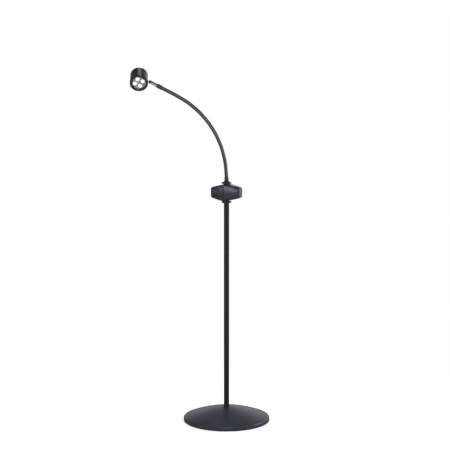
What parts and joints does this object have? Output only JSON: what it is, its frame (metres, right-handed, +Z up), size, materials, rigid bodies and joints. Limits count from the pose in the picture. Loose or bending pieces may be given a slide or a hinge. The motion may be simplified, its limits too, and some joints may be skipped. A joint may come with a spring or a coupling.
{
  "type": "medical examination light",
  "caption": "Floor-standing examination light with a round weighted base, pole, control housing, flexible neck and a round multi-emitter head on a ball joint.",
  "frame": {"origin": "centre of the underside of the base, on the pole's axis, at floor level", "axes": "+Z up along the pole, X along the width of the housing, -Y the front with the switch"},
  "size_m": [0.5599, 0.36, 1.4717],
  "materials": {
    "pad_rubber": "matte",
    "cast_weight": "matte",
    "base_coat": "satin",
    "pole_coat": "satin",
    "collar_coat": "satin",
    "steel_hardware": "satin",
    "hub_alloy": "satin",
    "housing_plastic": "satin",
    "switch_plastic": "gloss",
    "inlet_plastic": "matte",
    "board_laminate": "satin",
    "transformer_tape": "satin",
    "capacitor_sleeve": "gloss",
    "neck_sleeve": "satin",
    "ferrule_coat": "satin",
    "bright_chrome": "polished",
    "socket_black": "satin",
    "seat_nylon": "satin",
    "black_anodised": "satin",
    "front_glass": "polished",
    "seal_rubber": "matte",
    "lens_holder": "satin",
    "lens_acrylic": "polished",
    "emitter_phosphor": "satin",
    "emitter_board": "satin",
    "heat_sink_alloy": "satin"
  },
  "bodies": {
    "stand": {"base_pad": "pad_rubber", "base_weight": "cast_weight", "base_cover": "base_coat", "base_bolt": "steel_hardware", "base_washer": "steel_hardware", "pole_plug": "steel_hardware", "foot_ring": "collar_coat", "pole": "pole_coat", "lower_collar": "collar_coat", "collar_grub_screw": "steel_hardware", "hub": "hub_alloy", "shell_left": "housing_plastic", "shell_right": "housing_plastic", "shell_screws": "steel_hardware", "power_board": "board_laminate", "transformer": "transformer_tape", "capacitors": "capacitor_sleeve", "switch_frame": "switch_plastic", "power_inlet": "inlet_plastic", "inlet_pins": "bright_chrome", "upper_collar": "collar_coat", "neck_ferrule": "ferrule_coat", "neck_foot": "neck_sleeve"},
    "switch_rocker": {"rocker": "switch_plastic"},
    "neck_01": {"neck_link_01": "neck_sleeve"},
    "neck_02": {"neck_link_02": "neck_sleeve"},
    "neck_03": {"neck_link_03": "neck_sleeve"},
    "neck_04": {"neck_link_04": "neck_sleeve"},
    "neck_05": {"neck_link_05": "neck_sleeve"},
    "neck_06": {"neck_link_06": "neck_sleeve"},
    "neck_07": {"neck_link_07": "neck_sleeve"},
    "neck_08": {"neck_link_08": "neck_sleeve"},
    "neck_09": {"neck_link_09": "neck_sleeve"},
    "neck_10": {"neck_link_10": "neck_sleeve"},
    "neck_11": {"neck_link_11": "neck_sleeve"},
    "neck_12": {"neck_link_12": "neck_sleeve"},
    "neck_13": {"neck_link_13": "neck_sleeve"},
    "neck_14": {"neck_link_14": "neck_sleeve"},
    "neck_15": {"neck_link_15": "neck_sleeve"},
    "neck_16": {"neck_link_16": "neck_sleeve", "end_ferrule": "ferrule_coat"},
    "stem": {"stem": "bright_chrome", "swivel_clip": "steel_hardware", "ball_socket": "socket_black", "ball_seat": "seat_nylon"},
    "head": {"ball_stud": "bright_chrome", "stud_nut": "steel_hardware", "head_barrel": "black_anodised", "bezel": "black_anodised", "front_glass": "front_glass", "glass_seal": "seal_rubber", "lens_plate": "lens_holder", "lenses": "lens_acrylic", "emitter_board": "emitter_board", "emitters": "emitter_phosphor", "heat_sink": "heat_sink_alloy", "rear_cap": "black_anodised", "rear_cap_screws": "steel_hardware"}
  },
  "joints": [
    {"name": "neck_lower_bend", "type": "hinge", "parent": "stand", "child": "neck_01", "pos_m": [0, 0, 1.024], "axis": [0.2924, -0.9563, 0], "range_deg": [-16, 16]},
    {"name": "neck_sway", "type": "hinge", "parent": "neck_01", "child": "neck_02", "pos_m": [-0.00115, -0.00035, 1.05398], "axis": [0.9494, 0.2903, 0.1198], "range_deg": [-10, 10]},
    {"name": "neck_lower_bend_2", "type": "hinge", "parent": "neck_02", "child": "neck_03", "pos_m": [-0.00458, -0.0014, 1.08376], "axis": [0.2924, -0.9563, 0], "range_deg": [-16, 16]},
    {"name": "neck_sway_2", "type": "hinge", "parent": "neck_03", "child": "neck_04", "pos_m": [-0.01029, -0.00315, 1.11316], "axis": [0.919, 0.281, 0.2766], "range_deg": [-10, 10]},
    {"name": "neck_lower_bend_3", "type": "hinge", "parent": "neck_04", "child": "neck_05", "pos_m": [-0.01822, -0.00557, 1.14199], "axis": [0.2924, -0.9563, 0], "range_deg": [-16, 16]},
    {"name": "neck_sway_3", "type": "hinge", "parent": "neck_05", "child": "neck_06", "pos_m": [-0.02834, -0.00866, 1.17006], "axis": [0.8651, 0.2645, 0.4263], "range_deg": [-10, 10]},
    {"name": "neck_lower_bend_4", "type": "hinge", "parent": "neck_06", "child": "neck_07", "pos_m": [-0.04057, -0.0124, 1.1972], "axis": [0.2924, -0.9563, 0], "range_deg": [-16, 16]},
    {"name": "neck_sway_4", "type": "hinge", "parent": "neck_07", "child": "neck_08", "pos_m": [-0.05483, -0.01676, 1.22323], "axis": [0.789, 0.2412, 0.565], "range_deg": [-10, 10]},
    {"name": "neck_upper_bend", "type": "hinge", "parent": "neck_08", "child": "neck_09", "pos_m": [-0.07104, -0.02172, 1.24798], "axis": [0.2924, -0.9563, 0], "range_deg": [-16, 16]},
    {"name": "neck_sway_5", "type": "hinge", "parent": "neck_09", "child": "neck_10", "pos_m": [-0.0891, -0.02724, 1.2713], "axis": [0.6928, 0.2118, 0.6894], "range_deg": [-10, 10]},
    {"name": "neck_upper_bend_2", "type": "hinge", "parent": "neck_10", "child": "neck_11", "pos_m": [-0.10887, -0.03329, 1.29303], "axis": [0.2924, -0.9563, 0], "range_deg": [-16, 16]},
    {"name": "neck_sway_6", "type": "hinge", "parent": "neck_11", "child": "neck_12", "pos_m": [-0.13025, -0.03982, 1.31304], "axis": [0.5788, 0.177, 0.7961], "range_deg": [-10, 10]},
    {"name": "neck_upper_bend_3", "type": "hinge", "parent": "neck_12", "child": "neck_13", "pos_m": [-0.15309, -0.0468, 1.3312], "axis": [0.2924, -0.9563, 0], "range_deg": [-16, 16]},
    {"name": "neck_sway_7", "type": "hinge", "parent": "neck_13", "child": "neck_14", "pos_m": [-0.17724, -0.05419, 1.34739], "axis": [0.45, 0.1376, 0.8824], "range_deg": [-10, 10]},
    {"name": "neck_upper_bend_4", "type": "hinge", "parent": "neck_14", "child": "neck_15", "pos_m": [-0.20256, -0.06193, 1.3615], "axis": [0.2924, -0.9563, 0], "range_deg": [-16, 16]},
    {"name": "neck_sway_8", "type": "hinge", "parent": "neck_15", "child": "neck_16", "pos_m": [-0.22812, -0.06974, 1.37512], "axis": [0.4342, 0.1327, 0.891], "range_deg": [-10, 10]},
    {"name": "stem_swivel", "type": "hinge", "parent": "neck_16", "child": "stem", "pos_m": [-0.30193, -0.09231, 1.41445], "axis": [-0.8521, -0.2605, 0.454], "range_deg": [-170, 170]},
    {"name": "head_tilt", "type": "hinge", "parent": "stem", "child": "head", "pos_m": [-0.30193, -0.09231, 1.41445], "axis": [0.521, -0.3397, 0.783], "range_deg": [-46.5, 13.5]},
    {"name": "rocker_press", "type": "hinge", "parent": "stand", "child": "switch_rocker", "pos_m": [-0.03634, -0.02762, 0.96], "axis": [0.9369, -0.3496, 0], "range_deg": [0, 22]}
  ],
  "couplings": [
    {"joint": "neck_lower_bend_2", "follows": "neck_lower_bend", "ratio": 1},
    {"joint": "neck_sway_2", "follows": "neck_sway", "ratio": 1},
    {"joint": "neck_lower_bend_3", "follows": "neck_lower_bend", "ratio": 1},
    {"joint": "neck_sway_3", "follows": "neck_sway", "ratio": 1},
    {"joint": "neck_lower_bend_4", "follows": "neck_lower_bend", "ratio": 1},
    {"joint": "neck_sway_4", "follows": "neck_sway", "ratio": 1},
    {"joint": "neck_sway_5", "follows": "neck_sway", "ratio": 1},
    {"joint": "neck_upper_bend_2", "follows": "neck_upper_bend", "ratio": 1},
    {"joint": "neck_sway_6", "follows": "neck_sway", "ratio": 1},
    {"joint": "neck_upper_bend_3", "follows": "neck_upper_bend", "ratio": 1},
    {"joint": "neck_sway_7", "follows": "neck_sway", "ratio": 1},
    {"joint": "neck_upper_bend_4", "follows": "neck_upper_bend", "ratio": 1},
    {"joint": "neck_sway_8", "follows": "neck_sway", "ratio": 1}
  ]
}
